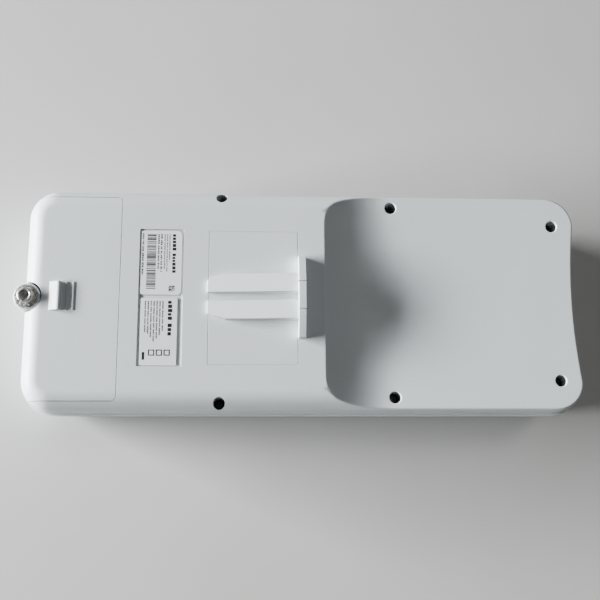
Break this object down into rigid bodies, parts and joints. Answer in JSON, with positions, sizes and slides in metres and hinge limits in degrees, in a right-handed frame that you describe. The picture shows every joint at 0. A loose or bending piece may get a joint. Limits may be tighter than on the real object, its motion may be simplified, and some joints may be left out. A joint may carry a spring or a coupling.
{
  "type": "outdoor wireless bridge",
  "caption": "Outdoor sector-antenna wireless bridge: flat radome case, hinged port door, pole-bracket rails and plate, and a scooped back over the upper half.",
  "frame": {"origin": "centre of the case outline on the flat front face, where the part rests", "axes": "+X along the case away from the port door, +Y across it, +Z out of the back towards the pole"},
  "size_m": [0.3509, 0.14, 0.082],
  "materials": {
    "case_plastic": "fine moulded texture, light cool grey",
    "steel": "satin zinc-plated and stainless",
    "brass": "turned",
    "aluminium": "mill finish sheet",
    "black_rubber": "matt",
    "black_plastic": "satin",
    "clear_plastic": "clear polished",
    "circuit_green": "solder mask over laminate",
    "feed_laminate": "glass-fibre laminate",
    "nylon": "natural nylon",
    "label_stock": "printed film label",
    "thermal_pad": "soft silicone",
    "yellow_jacket": "wire insulation",
    "brown_jacket": "coaxial jacket"
  },
  "bodies": {
    "case": {"front_radome": "case_plastic", "rear_shell": "case_plastic", "board_screw_1": "steel", "board_screw_2": "steel", "board_screw_3": "steel", "board_screw_4": "steel", "board_standoff_1": "brass", "board_standoff_2": "brass", "board_standoff_3": "brass", "board_standoff_4": "brass", "cable_entry_plug": "black_rubber", "case_screw_1": "steel", "case_screw_2": "steel", "case_screw_3": "steel", "case_screw_4": "steel", "case_screw_5": "steel", "case_screw_6": "steel", "coax_lead_1": "brown_jacket", "coax_lead_2": "brown_jacket", "coax_socket_1": "brass", "coax_socket_2": "brass", "ethernet_jack": "steel", "feed_board": "feed_laminate", "fibre_cage": "steel", "ground_insert": "brass", "ground_lead": "yellow_jacket", "ground_lug": "brass", "ground_plain_washer": "steel", "ground_toothed_washer": "steel", "heatsink": "aluminium", "light_guide": "clear_plastic", "patch_post_1": "nylon", "patch_post_2": "nylon", "patch_post_3": "nylon", "patch_post_4": "nylon", "patch_post_5": "nylon", "patch_post_6": "nylon", "processor": "black_plastic", "radiator_patch_1": "aluminium", "radiator_patch_2": "aluminium", "radiator_patch_3": "aluminium", "radiator_patch_4": "aluminium", "radiator_patch_5": "aluminium", "radiator_patch_6": "aluminium", "radio_shield_can": "steel", "rating_label": "label_stock", "reflector_screw_1": "steel", "reflector_screw_2": "steel", "reflector_screw_3": "steel", "reflector_screw_4": "steel", "reflector_tray": "aluminium", "reset_switch": "black_plastic", "router_board": "circuit_green", "serial_label": "label_stock", "thermal_pad": "thermal_pad"},
    "door": {"port_door": "case_plastic"},
    "ground_screw_body": {"ground_screw": "steel"},
    "reset_plunger": {"reset_button": "nylon"},
    "dust_plug_body": {"fibre_dust_plug": "black_rubber"}
  },
  "joints": [
    {"name": "door_hinge", "type": "hinge", "parent": "case", "child": "door", "pos_m": [-0.1148, 0, 0.072], "axis": [0, 1, 0], "range_deg": [0, 70]},
    {"name": "ground_screw_turn", "type": "hinge", "parent": "case", "child": "ground_screw_body", "pos_m": [-0.17, 0, 0.0718], "axis": [0, 0, 1], "continuous": true},
    {"name": "reset_press", "type": "slide", "parent": "case", "child": "reset_plunger", "axis": [1, 0, 0], "range_m": [0, 0.0008], "stiffness_N_per_m": 400},
    {"name": "dust_plug_pull", "type": "slide", "parent": "case", "child": "dust_plug_body", "axis": [-1, 0, 0], "range_m": [0, 0.012]}
  ]
}
